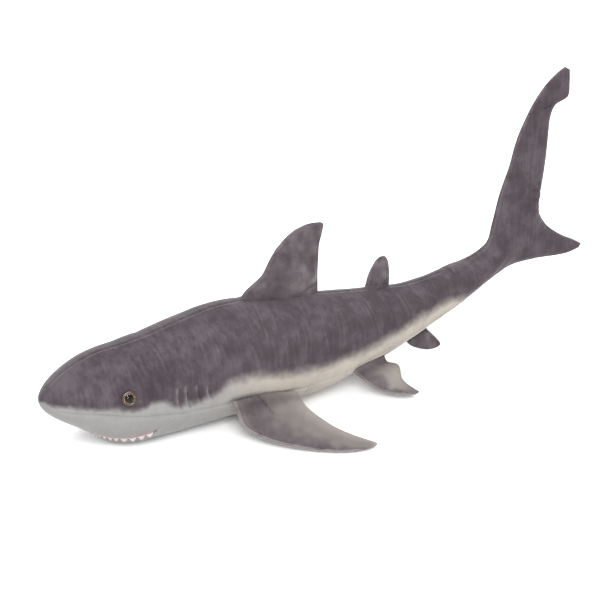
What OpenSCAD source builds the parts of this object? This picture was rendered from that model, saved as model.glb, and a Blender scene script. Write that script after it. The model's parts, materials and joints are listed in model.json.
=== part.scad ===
// Plush shark: a stuffed velour body with sewn fins, felt teeth and safety eyes.
// The nose points to -X, the shark's left side faces -Y, +Z is up and the belly rests on z = 0.
// Places along the body are given as s, the distance behind the nose, on a shark of the
// reference size. Angles around the body start at the middle of the belly and grow towards
// the left flank, so 90 is the left side, 180 the back seam, and the right side is a mirror.

/* [Overall] */
// Length from the nose to the tip of the lower tail lobe
overall_length = 837; // [740:1:940]
// Width of the body at its widest
body_width = 150; // [135:1:165]
// Height of the body at its highest
body_height = 151; // [140:1:165]
// Thickness of the velour with its backing
fabric = 1.5; // [1:0.1:1.8]

/* [Eyes] */
// Outer diameter of a safety eye
eye_d = 18; // [14:0.5:20]
// Height of the clear dome
eye_dome = 5; // [3:0.5:7]
// Diameter of the eye's post
post_d = 5; // [4:0.5:6]
// Length of the eye's post behind the skin
post_length = 13; // [10:1:16]

/* [Mouth] */
// Number of felt teeth in the strip
tooth_count = 20; // [12:1:26]
// How far a tooth hangs below the lip
tooth_height = 6; // [4:0.5:8]

/* [Fins] */
// Thickness of the first dorsal fin at its root
dorsal_thickness = 22; // [18:1:23]
// Thickness of the second dorsal fin at its root
second_dorsal_thickness = 11; // [8:1:12]
// Thickness of the anal fin at its root
anal_thickness = 11; // [8:1:12]
// Thickness of a pectoral fin at its root
pectoral_thickness = 18; // [14:1:19]
// Thickness of a pelvic fin at its root
pelvic_thickness = 12; // [8:1:13]
// Thickness of the tail fin's lobes where they leave the tail
lobe_thickness = 30; // [22:1:34]

/* [Flexing places] */
// Distance behind the nose of the bend where the tail sways
tail_bend = 555; // [550:1:558]
// Distance behind the nose of the bend where the tail fin sways
fin_bend = 655; // [650:1:658]
// Clear space at each bend
bend_gap = 0.6; // [0.4:0.1:1]

/* [Hidden] */

// Colours
velour_grey = [0.43, 0.40, 0.43];
velour_white = [0.86, 0.84, 0.80];
batting_white = [0.95, 0.95, 0.93];
gum_pink = [0.85, 0.62, 0.62];
mouth_grey = [0.45, 0.40, 0.41];
felt_white = [0.96, 0.95, 0.92];
socket_brown = [0.16, 0.10, 0.07];
iris_gold = [0.72, 0.55, 0.33];
pupil_black = [0.03, 0.03, 0.03];
dome_clear = [0.80, 0.85, 0.88, 0.5];
washer_white = [0.90, 0.90, 0.88];

// Reference size that the tables below are drawn at
reference_length = 837;
reference_width = 150;
reference_height = 151;
length_scale = overall_length / reference_length;
width_scale = body_width / reference_width;
height_scale = body_height / reference_height;

// Body: distance behind the nose, top, bottom, half width and height of the widest level
body_table = [
    [0, 77, 71, 3, 74],
    [4, 88, 61, 19, 74],
    [18, 100, 49, 34, 73],
    [40, 110, 35, 47, 72],
    [70, 121, 13, 58, 71],
    [90, 126, 1, 62, 70],
    [110, 130, -3, 66, 70],
    [150, 137, -3, 70, 70],
    [200, 146, -3, 73, 71],
    [250, 151, -3, 75, 72],
    [300, 151, -3, 75, 72],
    [350, 147, -2, 71, 73],
    [400, 141, 7, 64, 74],
    [450, 134, 21, 55, 77],
    [500, 129, 36, 46, 83],
    [540, 128, 48, 39, 90],
    [580, 133, 64, 34, 99],
    [620, 144, 81, 30, 113],
    [660, 161, 98, 27, 130],
    [700, 180, 118, 21, 149],
    [740, 196, 138, 12, 167]
];

// Angle of the seam between the back panels and the underside panels
seam_table = [[0, 80], [40, 83], [100, 79], [165, 72], [225, 69], [330, 62], [500, 60], [740, 60]];
// Half of the space left between two panels along a seam, in degrees
seam_gap = 0.8;

// Edge of the upper lip, then of the seam behind the mouth: share of the way from the middle
// of the belly to the seam, and distance behind the nose
lip_table = [[0, 60], [0.3, 67], [0.45, 85], [0.55, 105], [0.65, 125], [0.72, 132], [0.85, 150], [1, 165]];
// Space between the upper lip and the throat, over the same share
opening_table = [[0, 9], [0.55, 10], [0.66, 8], [0.75, 2], [1, 2]];
mouth_share = 0.66;
share_per_mm = 0.012;

// Strips in the mouth: how far they reach to the sides and how far behind the lip they hang
gum_share = 0.6;
gum_setback = 2;
tooth_share = 0.5;
tooth_setback = 3;
felt_thickness = 0.8;
lip_tuck = 4;
strip_tuck = 1;
gum_drop = 2;
notch_drop = 1.5;

// Space between the skins and the stuffing, and between fin skins and batting
stuffing_gap = 3;
batting_gap = 0.4;
lining_gap = 2;
lining_thickness = 0.8;

// Eye: place on the body and the way it looks
eye_s = 93;
eye_angle = 103;
eye_raise = 12;
eye_turn = 12;
eye_lift = 0.5;
rim_height = 2.4;
iris_r = eye_d / 2 - 1.5;
iris_thickness = 0.6;
pupil_r = eye_d * 0.26;
pupil_thickness = 0.4;
eye_hole = post_d + 1;
washer_d = eye_d - 1;
washer_thickness = 1.5;
washer_setback = fabric + 1.3;
eye_pocket_depth = post_length + 6;

// Radius of the round ends at the two bends, on the reference shark and on this one
tail_bend_reach = 36;
fin_bend_reach = 26;
tail_bend_r = tail_bend_reach * width_scale;
fin_bend_r = fin_bend_reach * width_scale;
// Longer than any piece, for shapes that cut
beyond = 600;

// How far the fabric in front of a bend laps the round end behind it, as a share of its radius
socket_lip = 0.5;
torso_last = tail_bend - socket_lip * tail_bend_reach;
tail_first = tail_bend - tail_bend_reach - 2;
tail_last = fin_bend - socket_lip * fin_bend_reach;

// Stations of the fabric rings along the torso and the tail, and the first one of the stuffing
torso_stations = concat(
    [0, 4, 10, 18, 28, 40, 55, 70, 90, 110, 150, 200, 250, 300, 350, 400, 450, 500],
    [torso_last]
);
tail_stations = [tail_first, 535, 555, 575, 600, 622, tail_last];
stuffing_first = 10;

// Ways into the body and upwards at the root of a paired fin
pectoral_inward = [0, 0.91, 0.41];
pectoral_up = [0, -0.41, 0.91];
pelvic_inward = [0, 0.77, 0.64];
pelvic_up = [0, -0.64, 0.77];

// Columns across a fin, from its leading edge to its trailing edge
fin_columns = [0, 0.08, 0.2, 0.35, 0.5, 0.65, 0.8, 0.92, 1];
batting_columns = [0.08, 0.2, 0.35, 0.5, 0.65, 0.8, 0.92];
// Angles that round off the root of a fin about its hinge line
root_angles = [85, 60, 30];

// Fins: rows from the root to the tip, each with a point of the leading edge, a point of the
// trailing edge and the half thickness as a share of that at the root
dorsal_rows = [
    [[289, 0, 165], [397, 0, 155], 1],
    [[304, 0, 180], [398, 0, 172], 0.8],
    [[318, 0, 198], [401, 0, 192], 0.6],
    [[335, 0, 214], [406, 0, 210], 0.42],
    [[354, 0, 228], [408, 0, 225], 0.3],
    [[376, 0, 237], [404, 0, 236], 0.15]
];
second_dorsal_rows = [
    [[471, 0, 139], [510, 0, 136], 1],
    [[475, 0, 151], [511, 0, 149], 0.75],
    [[483, 0, 164], [508, 0, 163], 0.5],
    [[491, 0, 172], [503, 0, 172], 0.25]
];
anal_rows = [
    [[537, 0, 40], [575, 0, 55], 1],
    [[549, 0, 29], [590, 0, 44], 0.75],
    [[568, 0, 20], [598, 0, 33], 0.5],
    [[585, 0, 17], [598, 0, 23], 0.25]
];
pectoral_rows = [
    [[232, -82, 42], [325, -77, 34], 1],
    [[234, -96, 25], [325, -92, 27], 0.85],
    [[246, -112, 16], [333, -112, 18], 0.7],
    [[259, -130, 11], [342, -134, 12], 0.55],
    [[278, -150, 8], [354, -156, 8], 0.42],
    [[300, -168, 6], [366, -174, 6], 0.32],
    [[326, -184, 5], [374, -185, 5], 0.25],
    [[350, -194, 4], [372, -192, 4], 0.18]
];
pelvic_rows = [
    [[433, -53, 31], [476, -45, 33], 1],
    [[441, -64, 20], [497, -58, 26], 0.8],
    [[455, -78, 13], [502, -70, 16], 0.6],
    [[472, -90, 10], [501, -84, 11], 0.42],
    [[490, -97, 9], [504, -93, 9], 0.3]
];
// Tail fin: rows from the tip of the lower lobe to the tip of the upper lobe. The three rows
// with a share of 1 start inside the tail.
tail_fin_rows = [
    [[833, 0, 123], [837, 0, 130], 0.1],
    [[812, 0, 117], [820, 0, 140], 0.28],
    [[785, 0, 115], [798, 0, 152], 0.5],
    [[752, 0, 115], [774, 0, 169], 0.75],
    [[707, 0, 112], [762, 0, 182], 0.95],
    [[630, 0, 88], [757, 0, 189], 1],
    [[630, 0, 117], [755, 0, 194], 1],
    [[630, 0, 146], [755, 0, 200], 1],
    [[665, 0, 165], [756, 0, 210], 0.95],
    [[678, 0, 192], [758, 0, 224], 0.8],
    [[687, 0, 227], [761, 0, 246], 0.7],
    [[699, 0, 264], [764, 0, 272], 0.6],
    [[709, 0, 300], [766, 0, 302], 0.5],
    [[722, 0, 328], [768, 0, 326], 0.42],
    [[737, 0, 353], [776, 0, 343], 0.36],
    [[755, 0, 373], [797, 0, 352], 0.3],
    [[772, 0, 387], [799, 0, 372], 0.2],
    [[786, 0, 395], [796, 0, 390], 0.1]
];

// ---- Functions ----

function lerp(a, b, t) = a + (b - a) * t;

// Index of the stretch of a table that holds s
function stretch(table, s, i = 0) =
    i >= len(table) - 2 || s < table[i + 1][0] ? i : stretch(table, s, i + 1);

// Slope of a column of a table at row i
function slope(table, column, i) =
    let (a = max(i - 1, 0), b = min(i + 1, len(table) - 1))
    (table[b][column] - table[a][column]) / (table[b][0] - table[a][0]);

// Smooth value of a column of a table at s
function smooth(table, column, s) =
    let (
        i = stretch(table, s),
        step = table[i + 1][0] - table[i][0],
        t = (s - table[i][0]) / step
    )
    (2 * t ^ 3 - 3 * t ^ 2 + 1) * table[i][column]
    + (t ^ 3 - 2 * t ^ 2 + t) * step * slope(table, column, i)
    + (3 * t ^ 2 - 2 * t ^ 3) * table[i + 1][column]
    + (t ^ 3 - t ^ 2) * step * slope(table, column, i + 1);

// A place on the reference shark, in this shark's own frame
function at(p) = [
    p[0] * length_scale - overall_length / 2,
    p[1] * width_scale,
    p[2] * height_scale
];

function seam_angle(s) = smooth(seam_table, 1, s);
function lip_s(share) = lookup(abs(share), lip_table);
function opening(share) = lookup(abs(share), opening_table);

// A point of the body's surface, or of one that lies deeper by inset. A surface inside the
// skin stays at least inset above the ground.
function body_point(s, angle, inset = 0) =
    let (
        level = smooth(body_table, 4, s),
        up = smooth(body_table, 1, s) - level - inset,
        down = level - smooth(body_table, 2, s) - inset,
        half = smooth(body_table, 3, s) - inset,
        z = level - cos(angle) * (cos(angle) > 0 ? down : up)
    )
    at([s, -half * sin(angle), inset > 0 ? max(z, inset) : z]);

// Fabric of a back panel between two surfaces
function back_grid(stations, inset) = [
    for (s = stations) [
        for (i = [0 : 9])
            body_point(s, lerp(seam_angle(s) + seam_gap, 180, i / 9), inset)
    ]
];

// Fabric of an underside panel from one edge to another, each a function of the share
function underside_point(share, s, inset) =
    body_point(s, share * (seam_angle(s) - seam_gap), inset);

function snout_grid(inset) = [
    for (i = [0 : 9]) [
        for (j = [-7 : 7])
            underside_point(j / 7, lip_s(j / 7) * (i / 9) ^ 1.5, inset)
    ]
];

function belly_grid(last, inset) = [
    for (i = [0 : 12]) [
        for (j = [-7 : 7])
            let (first = lip_s(j / 7) + opening(j / 7))
            underside_point(j / 7, lerp(first, last, (i / 12) ^ 1.5), inset)
    ]
];

function strip_grid(stations, inset) = [
    for (s = stations) [
        for (j = [-4 : 4])
            underside_point(j / 4, s, inset)
    ]
];

// Rings of the stuffing
function stuffing_rings(stations) = [
    for (s = stations) [
        for (i = [0 : 19])
            body_point(s, i * 18, fabric + stuffing_gap)
    ]
];

// Half thickness of a fin across its width
function crown(c) = sin(180 * c ^ 0.75) ^ 0.8;
function fin_half(row, c, root_half, inset) =
    let (outer = max(fabric, row[2] * root_half * crown(c)))
    inset == 0 ? outer : max(inset > fabric ? 0.05 : 0.1, outer - inset);

// Half width of the tail where the tail fin grows out of it
function stock_half(p) =
    let (
        s = (p[0] + overall_length / 2) / length_scale,
        level = smooth(body_table, 4, s),
        z = p[2] / height_scale - level,
        reach = z > 0 ? smooth(body_table, 1, s) - level : level - smooth(body_table, 2, s),
        share = 1 - (z / reach) ^ 2
    )
    s > 740 || share <= 0 ? 0 : smooth(body_table, 3, s) * width_scale * sqrt(share);

// One side of a fin: rows of points at the given inset from its outer face. The root is
// rounded about its hinge line.
function fin_grid(rows, columns, root_half, inward, face, inset) = concat(
    [
        for (a = root_angles) [
            for (c = columns)
                let (h = fin_half(rows[0], c, root_half, inset))
                lerp(at(rows[0][0]), at(rows[0][1]), c) + inward * h * sin(a) + face * h * cos(a)
        ]
    ],
    [
        for (row = rows) [
            for (c = columns)
                lerp(at(row[0]), at(row[1]), c) + face * fin_half(row, c, root_half, inset)
        ]
    ]
);

function tail_fin_grid(rows, columns, side, inset) = [
    for (row = rows) [
        for (c = columns)
            let (
                p = lerp(at(row[0]), at(row[1]), c),
                crowned = row[2] * lobe_thickness / 2 * crown(c),
                outer = max(fabric, crowned, stock_half(p)),
                half = inset == 0 ? outer : max(inset > fabric ? 0.05 : 0.1, outer - inset)
            )
            p + [0, side * half, 0]
    ]
];

// Rows without the last n
function all_but(rows, n) = [for (i = [0 : len(rows) - 1 - n]) rows[i]];

// ---- General shapes ----

// Closed solid between two grids of points of the same size. Its faces are turned outwards
// whichever way round the grids are drawn.
module slab(outer, inner) {
    n = len(outer);
    m = len(outer[0]);
    far = n * m;
    i = floor((n - 1) / 2);
    j = floor((m - 1) / 2);
    p = outer[i][j];
    turned_in = cross(outer[i][j + 1] - p, outer[i + 1][j] - p) * (p - inner[i][j]) > 0;
    quads = concat(
        [
            for (i = [0 : n - 2], j = [0 : m - 2])
                [i * m + j, i * m + j + 1, (i + 1) * m + j + 1, (i + 1) * m + j]
        ],
        [
            for (i = [0 : n - 2], j = [0 : m - 2])
                [far + i * m + j, far + (i + 1) * m + j, far + (i + 1) * m + j + 1, far + i * m + j + 1]
        ],
        [for (i = [0 : n - 2]) [i * m, (i + 1) * m, far + (i + 1) * m, far + i * m]],
        [
            for (i = [0 : n - 2])
                [(i + 2) * m - 1, (i + 1) * m - 1, far + (i + 1) * m - 1, far + (i + 2) * m - 1]
        ],
        [for (j = [0 : m - 2]) [j + 1, j, far + j, far + j + 1]],
        [
            for (j = [0 : m - 2])
                [(n - 1) * m + j, (n - 1) * m + j + 1, far + (n - 1) * m + j + 1, far + (n - 1) * m + j]
        ]
    );
    polyhedron(
        points = concat([for (row = outer) each row], [for (row = inner) each row]),
        faces = [
            for (q = quads)
                each turned_in
                    ? [[q[2], q[1], q[0]], [q[3], q[2], q[0]]]
                    : [[q[0], q[1], q[2]], [q[0], q[2], q[3]]]
        ],
        convexity = 8
    );
}

// Closed solid through rings of points, with flat ends
module tube(rings) {
    n = len(rings);
    m = len(rings[0]);
    sides = [
        for (i = [0 : n - 2], j = [0 : m - 1])
            let (k = (j + 1) % m)
            each [
                [i * m + j, (i + 1) * m + k, (i + 1) * m + j],
                [i * m + j, i * m + k, (i + 1) * m + k]
            ]
    ];
    front = [[for (j = [m - 1 : -1 : 0]) j]];
    back = [[for (j = [0 : m - 1]) (n - 1) * m + j]];
    polyhedron(
        points = [for (ring = rings) each ring],
        faces = concat(sides, front, back),
        convexity = 8
    );
}

// Keeps what is drawn clear of the round end of the piece behind a bend
module clear_of_bend(s, r) {
    difference() {
        children();
        translate([at([s, 0, 0])[0], 0, -1])
            cylinder(h = beyond, r = r + bend_gap, $fn = 96);
    }
}

// Gives what is drawn a round end about a bend
module round_at_bend(s, r) {
    intersection() {
        children();
        translate([at([s, 0, 0])[0], 0, -1]) {
            cylinder(h = beyond, r = r, $fn = 96);
            translate([0, -beyond / 2, 0])
                cube([beyond, beyond, beyond]);
        }
    }
}

module right_side() {
    mirror([0, 1, 0])
        children();
}

// ---- Torso ----

module eye_frame() {
    translate(body_point(eye_s, eye_angle))
        rotate([90 - eye_raise, 0, -eye_turn])
            children();
}

module back_panel_left() {
    color(velour_grey)
        clear_of_bend(tail_bend, tail_bend_r)
            difference() {
                slab(back_grid(torso_stations, 0), back_grid(torso_stations, fabric));
                eye_frame()
                    cylinder(h = 20, d = eye_hole, center = true, $fn = 48);
            }
}

module back_panel_right() {
    right_side()
        back_panel_left();
}

module snout_panel() {
    color(velour_white)
        slab(snout_grid(0), snout_grid(fabric));
}

module belly_panel() {
    color(velour_white)
        clear_of_bend(tail_bend, tail_bend_r)
            difference() {
                slab(belly_grid(torso_last, 0), belly_grid(torso_last, fabric));
                translate([-beyond, -beyond / 2, -beyond])
                    cube([2 * beyond, beyond, beyond]);
            }
}

module torso_stuffing() {
    stations = [for (s = torso_stations) if (s >= stuffing_first) s];
    color(batting_white)
        clear_of_bend(tail_bend, tail_bend_r)
            difference() {
                tube(stuffing_rings(stations));
                for (side = [0, 1])
                    mirror([0, side, 0])
                        eye_frame()
                            translate([0, 0, -eye_pocket_depth])
                                cylinder(h = eye_pocket_depth + 5, d = washer_d + 2, $fn = 48);
            }
}

// ---- Mouth ----

function lining_grid(inset) = [
    for (i = [-tooth_count : tooth_count])
        let (
            share = mouth_share * i / tooth_count,
            first = lip_s(share) - lip_tuck,
            last = lip_s(share) + opening(share) + lip_tuck
        )
        [for (t = [0 : 0.25 : 1]) underside_point(share, lerp(first, last, t), inset)]
];

// A strip that hangs from the lip, set back into the mouth by offset, with the drop of each step.
// It reaches to the given share on both sides.
function hanging_grid(drops, reach, offset) =
    let (n = (len(drops) - 1) / 2)
    [
        for (i = [-n : n])
            let (
                share = reach * i / n,
                top = underside_point(share * (1 - offset * share_per_mm), lip_s(share) + offset, strip_tuck)
            )
            [top, top - [0, 0, drops[i + n] + strip_tuck]]
    ];

module mouth_lining() {
    front = fabric + lining_gap;
    color(mouth_grey)
        slab(lining_grid(front), lining_grid(front + lining_thickness));
}

module gum_strip() {
    drops = [for (i = [0 : 2 * tooth_count]) gum_drop];
    color(gum_pink)
        slab(
            hanging_grid(drops, gum_share, gum_setback + felt_thickness),
            hanging_grid(drops, gum_share, gum_setback)
        );
}

module tooth_strip() {
    drops = [for (i = [0 : 2 * tooth_count]) i % 2 == 1 ? tooth_height : notch_drop];
    color(felt_white)
        slab(
            hanging_grid(drops, tooth_share, tooth_setback + felt_thickness),
            hanging_grid(drops, tooth_share, tooth_setback)
        );
}

// ---- Eyes ----

module eye_socket_left() {
    color(socket_brown)
        eye_frame()
            union() {
                rotate_extrude($fn = 96)
                    polygon([
                        [0, eye_lift], [eye_d / 2 - 1, eye_lift], [eye_d / 2, eye_lift + 1],
                        [eye_d / 2, eye_lift + 1.6], [eye_d / 2 - 1, eye_lift + rim_height],
                        [iris_r + 0.1, eye_lift + rim_height], [iris_r + 0.1, eye_lift + 1], [0, eye_lift + 1]
                    ]);
                translate([0, 0, -post_length])
                    cylinder(h = post_length + eye_lift + 0.5, d = post_d, $fn = 64);
            }
}

module eye_iris_left() {
    color(iris_gold)
        eye_frame()
            translate([0, 0, eye_lift + 1])
                cylinder(h = iris_thickness, r = iris_r, $fn = 96);
}

module eye_pupil_left() {
    color(pupil_black)
        eye_frame()
            translate([0, 0, eye_lift + 1 + iris_thickness])
                cylinder(h = pupil_thickness, r = pupil_r, $fn = 96);
}

// The dome is hollow underneath, over the iris and the pupil
module eye_dome_left() {
    seat = eye_lift + 1 + iris_thickness;
    ball_r = (iris_r ^ 2 + eye_dome ^ 2) / (2 * eye_dome);
    color(dome_clear)
        eye_frame()
            translate([0, 0, seat])
                difference() {
                    intersection() {
                        translate([0, 0, eye_dome - ball_r])
                            sphere(r = ball_r, $fn = 96);
                        cylinder(h = eye_dome + 1, r = iris_r, $fn = 96);
                    }
                    translate([0, 0, -1])
                        cylinder(h = 1 + pupil_thickness, r = pupil_r + 0.1, $fn = 96);
                }
}

module eye_washer_left() {
    color(washer_white)
        eye_frame()
            translate([0, 0, -washer_setback - washer_thickness])
                difference() {
                    cylinder(h = washer_thickness, d = washer_d, $fn = 96);
                    translate([0, 0, -1])
                        cylinder(h = washer_thickness + 2, d = post_d + 0.2, $fn = 64);
                }
}

module eye_socket_right() {
    right_side()
        eye_socket_left();
}

module eye_iris_right() {
    right_side()
        eye_iris_left();
}

module eye_pupil_right() {
    right_side()
        eye_pupil_left();
}

module eye_dome_right() {
    right_side()
        eye_dome_left();
}

module eye_washer_right() {
    right_side()
        eye_washer_left();
}

// ---- Fins ----

module fin_skin(rows, thickness, inward, face) {
    outer = fin_grid(rows, fin_columns, thickness / 2, inward, face, 0);
    inner = fin_grid(rows, fin_columns, thickness / 2, inward, face, fabric);
    slab(outer, inner);
}

module fin_batting(rows, thickness, inward, face) {
    inset = fabric + batting_gap;
    short_rows = all_but(rows, 1);
    slab(
        fin_grid(short_rows, batting_columns, thickness / 2, inward, face, inset),
        fin_grid(short_rows, batting_columns, thickness / 2, inward, -face, inset)
    );
}

module dorsal_fin_left() {
    color(velour_grey)
        fin_skin(dorsal_rows, dorsal_thickness, [0, 0, -1], [0, -1, 0]);
}

module dorsal_fin_right() {
    right_side()
        dorsal_fin_left();
}

module dorsal_fin_batting() {
    color(batting_white)
        fin_batting(dorsal_rows, dorsal_thickness, [0, 0, -1], [0, -1, 0]);
}

module second_dorsal_left() {
    color(velour_grey)
        fin_skin(second_dorsal_rows, second_dorsal_thickness, [0, 0, -1], [0, -1, 0]);
}

module second_dorsal_right() {
    right_side()
        second_dorsal_left();
}

module second_dorsal_batting() {
    color(batting_white)
        fin_batting(second_dorsal_rows, second_dorsal_thickness, [0, 0, -1], [0, -1, 0]);
}

module anal_fin_left() {
    color(velour_grey)
        fin_skin(anal_rows, anal_thickness, [0, 0, 1], [0, -1, 0]);
}

module anal_fin_right() {
    right_side()
        anal_fin_left();
}

module anal_fin_batting() {
    color(batting_white)
        fin_batting(anal_rows, anal_thickness, [0, 0, 1], [0, 1, 0]);
}

module pectoral_top_left() {
    color(velour_grey)
        fin_skin(pectoral_rows, pectoral_thickness, pectoral_inward, pectoral_up);
}

module pectoral_under_left() {
    color(velour_white)
        fin_skin(pectoral_rows, pectoral_thickness, pectoral_inward, -pectoral_up);
}

module pectoral_batting_left() {
    color(batting_white)
        fin_batting(pectoral_rows, pectoral_thickness, pectoral_inward, pectoral_up);
}

module pectoral_top_right() {
    right_side()
        pectoral_top_left();
}

module pectoral_under_right() {
    right_side()
        pectoral_under_left();
}

module pectoral_batting_right() {
    right_side()
        pectoral_batting_left();
}

module pelvic_top_left() {
    color(velour_grey)
        fin_skin(pelvic_rows, pelvic_thickness, pelvic_inward, pelvic_up);
}

module pelvic_under_left() {
    color(velour_white)
        fin_skin(pelvic_rows, pelvic_thickness, pelvic_inward, -pelvic_up);
}

module pelvic_batting_left() {
    color(batting_white)
        fin_batting(pelvic_rows, pelvic_thickness, pelvic_inward, pelvic_up);
}

module pelvic_top_right() {
    right_side()
        pelvic_top_left();
}

module pelvic_under_right() {
    right_side()
        pelvic_under_left();
}

module pelvic_batting_right() {
    right_side()
        pelvic_batting_left();
}

// ---- Tail ----

module tail_piece() {
    round_at_bend(tail_bend, tail_bend_r)
        clear_of_bend(fin_bend, fin_bend_r)
            children();
}

module tail_panel_left() {
    color(velour_grey)
        tail_piece()
            slab(back_grid(tail_stations, 0), back_grid(tail_stations, fabric));
}

module tail_panel_right() {
    right_side()
        tail_panel_left();
}

module tail_belly_strip() {
    color(velour_white)
        tail_piece()
            slab(strip_grid(tail_stations, 0), strip_grid(tail_stations, fabric));
}

module tail_stuffing() {
    color(batting_white)
        tail_piece()
            tube(stuffing_rings(tail_stations));
}

module tail_fin_left() {
    color(velour_grey)
        round_at_bend(fin_bend, fin_bend_r)
            slab(
                tail_fin_grid(tail_fin_rows, fin_columns, -1, 0),
                tail_fin_grid(tail_fin_rows, fin_columns, -1, fabric)
            );
}

module tail_fin_right() {
    right_side()
        tail_fin_left();
}

module tail_fin_batting() {
    inset = fabric + batting_gap;
    rows = [for (i = [1 : len(tail_fin_rows) - 2]) tail_fin_rows[i]];
    color(batting_white)
        round_at_bend(fin_bend, fin_bend_r)
            slab(
                tail_fin_grid(rows, batting_columns, -1, inset),
                tail_fin_grid(rows, batting_columns, 1, inset)
            );
}

back_panel_left();
back_panel_right();
snout_panel();
belly_panel();
torso_stuffing();
mouth_lining();
gum_strip();
tooth_strip();
eye_socket_left();
eye_iris_left();
eye_pupil_left();
eye_dome_left();
eye_washer_left();
eye_socket_right();
eye_iris_right();
eye_pupil_right();
eye_dome_right();
eye_washer_right();
dorsal_fin_left();
dorsal_fin_right();
dorsal_fin_batting();
second_dorsal_left();
second_dorsal_right();
second_dorsal_batting();
pectoral_top_left();
pectoral_under_left();
pectoral_batting_left();
pectoral_top_right();
pectoral_under_right();
pectoral_batting_right();
pelvic_top_left();
pelvic_under_left();
pelvic_batting_left();
pelvic_top_right();
pelvic_under_right();
pelvic_batting_right();
tail_panel_left();
tail_panel_right();
tail_belly_strip();
tail_stuffing();
anal_fin_left();
anal_fin_right();
anal_fin_batting();
tail_fin_left();
tail_fin_right();
tail_fin_batting();
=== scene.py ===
"""Looks of a plush shark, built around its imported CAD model."""
import json
import math
from collections import namedtuple

import bpy
import numpy as np
from mathutils import Matrix, Vector, noise

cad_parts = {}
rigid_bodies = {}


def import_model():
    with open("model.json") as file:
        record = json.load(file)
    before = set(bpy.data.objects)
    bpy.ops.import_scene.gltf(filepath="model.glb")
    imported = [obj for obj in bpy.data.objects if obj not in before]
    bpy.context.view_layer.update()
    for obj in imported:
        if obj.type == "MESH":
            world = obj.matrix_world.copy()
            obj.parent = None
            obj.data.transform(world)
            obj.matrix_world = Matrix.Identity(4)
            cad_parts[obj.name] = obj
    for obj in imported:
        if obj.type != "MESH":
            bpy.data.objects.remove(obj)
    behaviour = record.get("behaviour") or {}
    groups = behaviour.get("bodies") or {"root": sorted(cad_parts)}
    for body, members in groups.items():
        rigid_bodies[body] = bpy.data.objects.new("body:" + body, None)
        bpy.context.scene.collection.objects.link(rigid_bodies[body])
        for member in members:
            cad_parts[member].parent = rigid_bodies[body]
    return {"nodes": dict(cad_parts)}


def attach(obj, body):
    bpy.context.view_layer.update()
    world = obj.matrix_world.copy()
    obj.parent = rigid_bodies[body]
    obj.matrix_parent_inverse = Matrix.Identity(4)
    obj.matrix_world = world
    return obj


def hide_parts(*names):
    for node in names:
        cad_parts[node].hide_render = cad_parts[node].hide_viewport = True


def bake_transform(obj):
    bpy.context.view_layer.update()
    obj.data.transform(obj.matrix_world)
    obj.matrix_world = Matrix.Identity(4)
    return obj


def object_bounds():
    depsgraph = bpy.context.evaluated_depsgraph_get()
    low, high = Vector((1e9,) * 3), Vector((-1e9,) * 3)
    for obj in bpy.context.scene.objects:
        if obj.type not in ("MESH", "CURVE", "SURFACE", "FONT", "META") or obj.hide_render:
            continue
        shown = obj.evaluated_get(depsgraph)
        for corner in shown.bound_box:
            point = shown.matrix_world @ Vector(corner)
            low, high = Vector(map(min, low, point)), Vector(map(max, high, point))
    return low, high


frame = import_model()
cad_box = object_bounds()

# The tables below are in millimetres on the shark's own length: s is the distance behind the
# nose and z the height above the floor. Angles around the body are in degrees and start at the
# middle of the belly: 90 is the left flank, 180 the back seam, negative ones are on the right.
REFERENCE_LENGTH = 837
NOSE_X = cad_box[0][0]
MM = (cad_box[1][0] - cad_box[0][0]) / REFERENCE_LENGTH

# s, top, bottom, half width, height of the widest level
BODY = np.array([
    [0, 74, 74, 0, 74],
    [4, 83, 63, 15, 74],
    [18, 97, 50, 32, 73],
    [40, 111, 36, 46, 72],
    [70, 122.5, 16, 57, 71],
    [90, 126, 5, 62, 70],
    [110, 127.5, -1, 66, 70],
    [150, 133, -2, 70, 70],
    [200, 144.5, 1, 73, 71],
    [250, 152, 4, 75, 72],
    [300, 152, 3, 75, 72],
    [350, 147, 4, 70, 73],
    [400, 139, 10, 63, 74],
    [450, 133, 23, 55, 77],
    [500, 128, 36, 46, 83],
    [540, 125, 50, 39, 89],
    [580, 129, 67.5, 34, 99],
    [620, 138.5, 81.5, 30, 112],
    [660, 151, 98, 27, 128],
    [700, 176, 120, 21, 149],
    [740, 194, 140, 12, 167],
], float)

# Angle of the seam between the back panels and the underside
SEAM = np.array([[0, 80], [40, 83], [100, 79], [165, 72], [225, 69], [330, 62], [500, 60], [740, 60]], float)
# Angle up to which the fabric is white, an uneven dyed edge
WHITE_EDGE = np.array([
    [0, 112], [6, 98], [15, 95], [35, 92], [57, 89], [93, 86], [112, 87], [128, 91], [141, 88], [151, 82],
    [178, 80], [205, 83], [228, 92], [247, 91], [268, 90], [297, 86], [328, 82], [352, 80], [377, 78],
    [437, 77], [472, 78], [500, 80], [534, 83], [570, 85], [592, 80], [608, 64], [624, 40], [640, 0],
    [650, -40], [740, -40],
], float)
# Upper lip, then the seam behind the mouth, by share of the way from the belly to the side seam
LIP = np.array([
    [0, 60], [0.3, 67], [0.45, 85], [0.55, 105], [0.65, 125], [0.72, 132], [0.85, 150], [1, 165],
], float)
# Space between the upper lip and the throat, over the same share
OPENING = np.array([[0, 9], [0.5, 10], [0.62, 8], [0.72, 0], [1, 0]], float)
MOUTH_SHARE = 0.68
TAIL_JOIN = 606
TAIL_BEND = (525, 590)
FIN_BEND = (640, 682)

# Gill pleats: s and angle of the top, then of the bottom
GILLS = [(158, 103, 160, 78), (169, 103, 172, 77), (183, 101, 188, 78), (197, 97, 203, 81)]
GILL_BOW = 2.5
# s and angle of the middle of an eye
EYE = (93, 103)
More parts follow.
